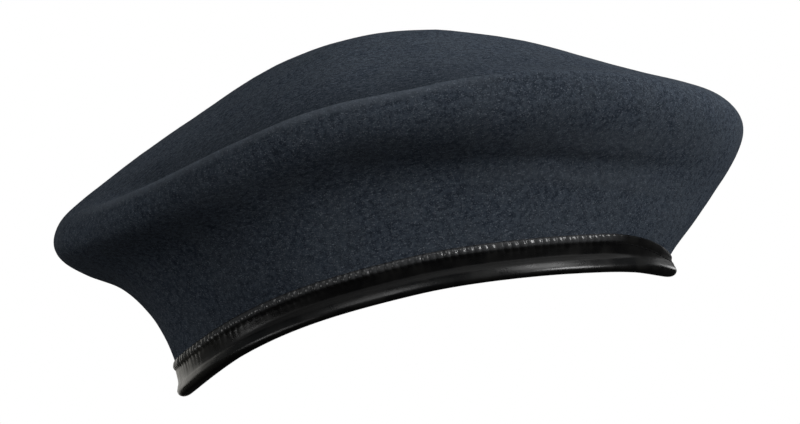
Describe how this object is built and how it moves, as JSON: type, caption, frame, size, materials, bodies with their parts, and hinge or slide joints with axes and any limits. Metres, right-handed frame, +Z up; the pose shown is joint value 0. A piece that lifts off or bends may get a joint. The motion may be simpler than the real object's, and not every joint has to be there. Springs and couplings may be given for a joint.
{
  "type": "beret",
  "caption": "Navy blue-grey felt beret in its worn shape, with a stitched black leather binding round the head opening.",
  "frame": {"origin": "centre of the head opening, level with the lowest points of the binding at the front and back", "axes": "+X towards the back of the head, -X the forehead, -Y the wearer's left, +Y the wearer's right, +Z up"},
  "size_m": [0.2839, 0.2626, 0.1254],
  "materials": {
    "felt": "fulled wool felt, navy blue-grey, matt with a short light nap",
    "leather": "smooth black binding leather, semi-gloss on the bead",
    "cord": "braided black drawstring",
    "thread": "waxed black sewing thread",
    "lining": "plain woven black lining cloth with a soft sheen",
    "buckram": "stiffened open-weave buckram",
    "label": "blank woven label",
    "eyelet": "black lacquered eyelet",
    "washer": "dull brass back washer"
  },
  "bodies": {
    "root": {"felt_crown": "felt", "leather_binding": "leather", "drawstring": "cord", "outer_seam_thread": "thread", "inner_seam_thread": "thread", "join_seam_thread": "thread", "lining_top": "lining", "lining_side": "lining", "lining_seam_thread": "thread", "badge_stiffener": "buckram", "size_label": "label", "label_thread": "thread", "eyelet_front": "eyelet", "eyelet_rear": "eyelet", "eyelet_washer_front": "washer", "eyelet_washer_rear": "washer"}
  },
  "joints": []
}
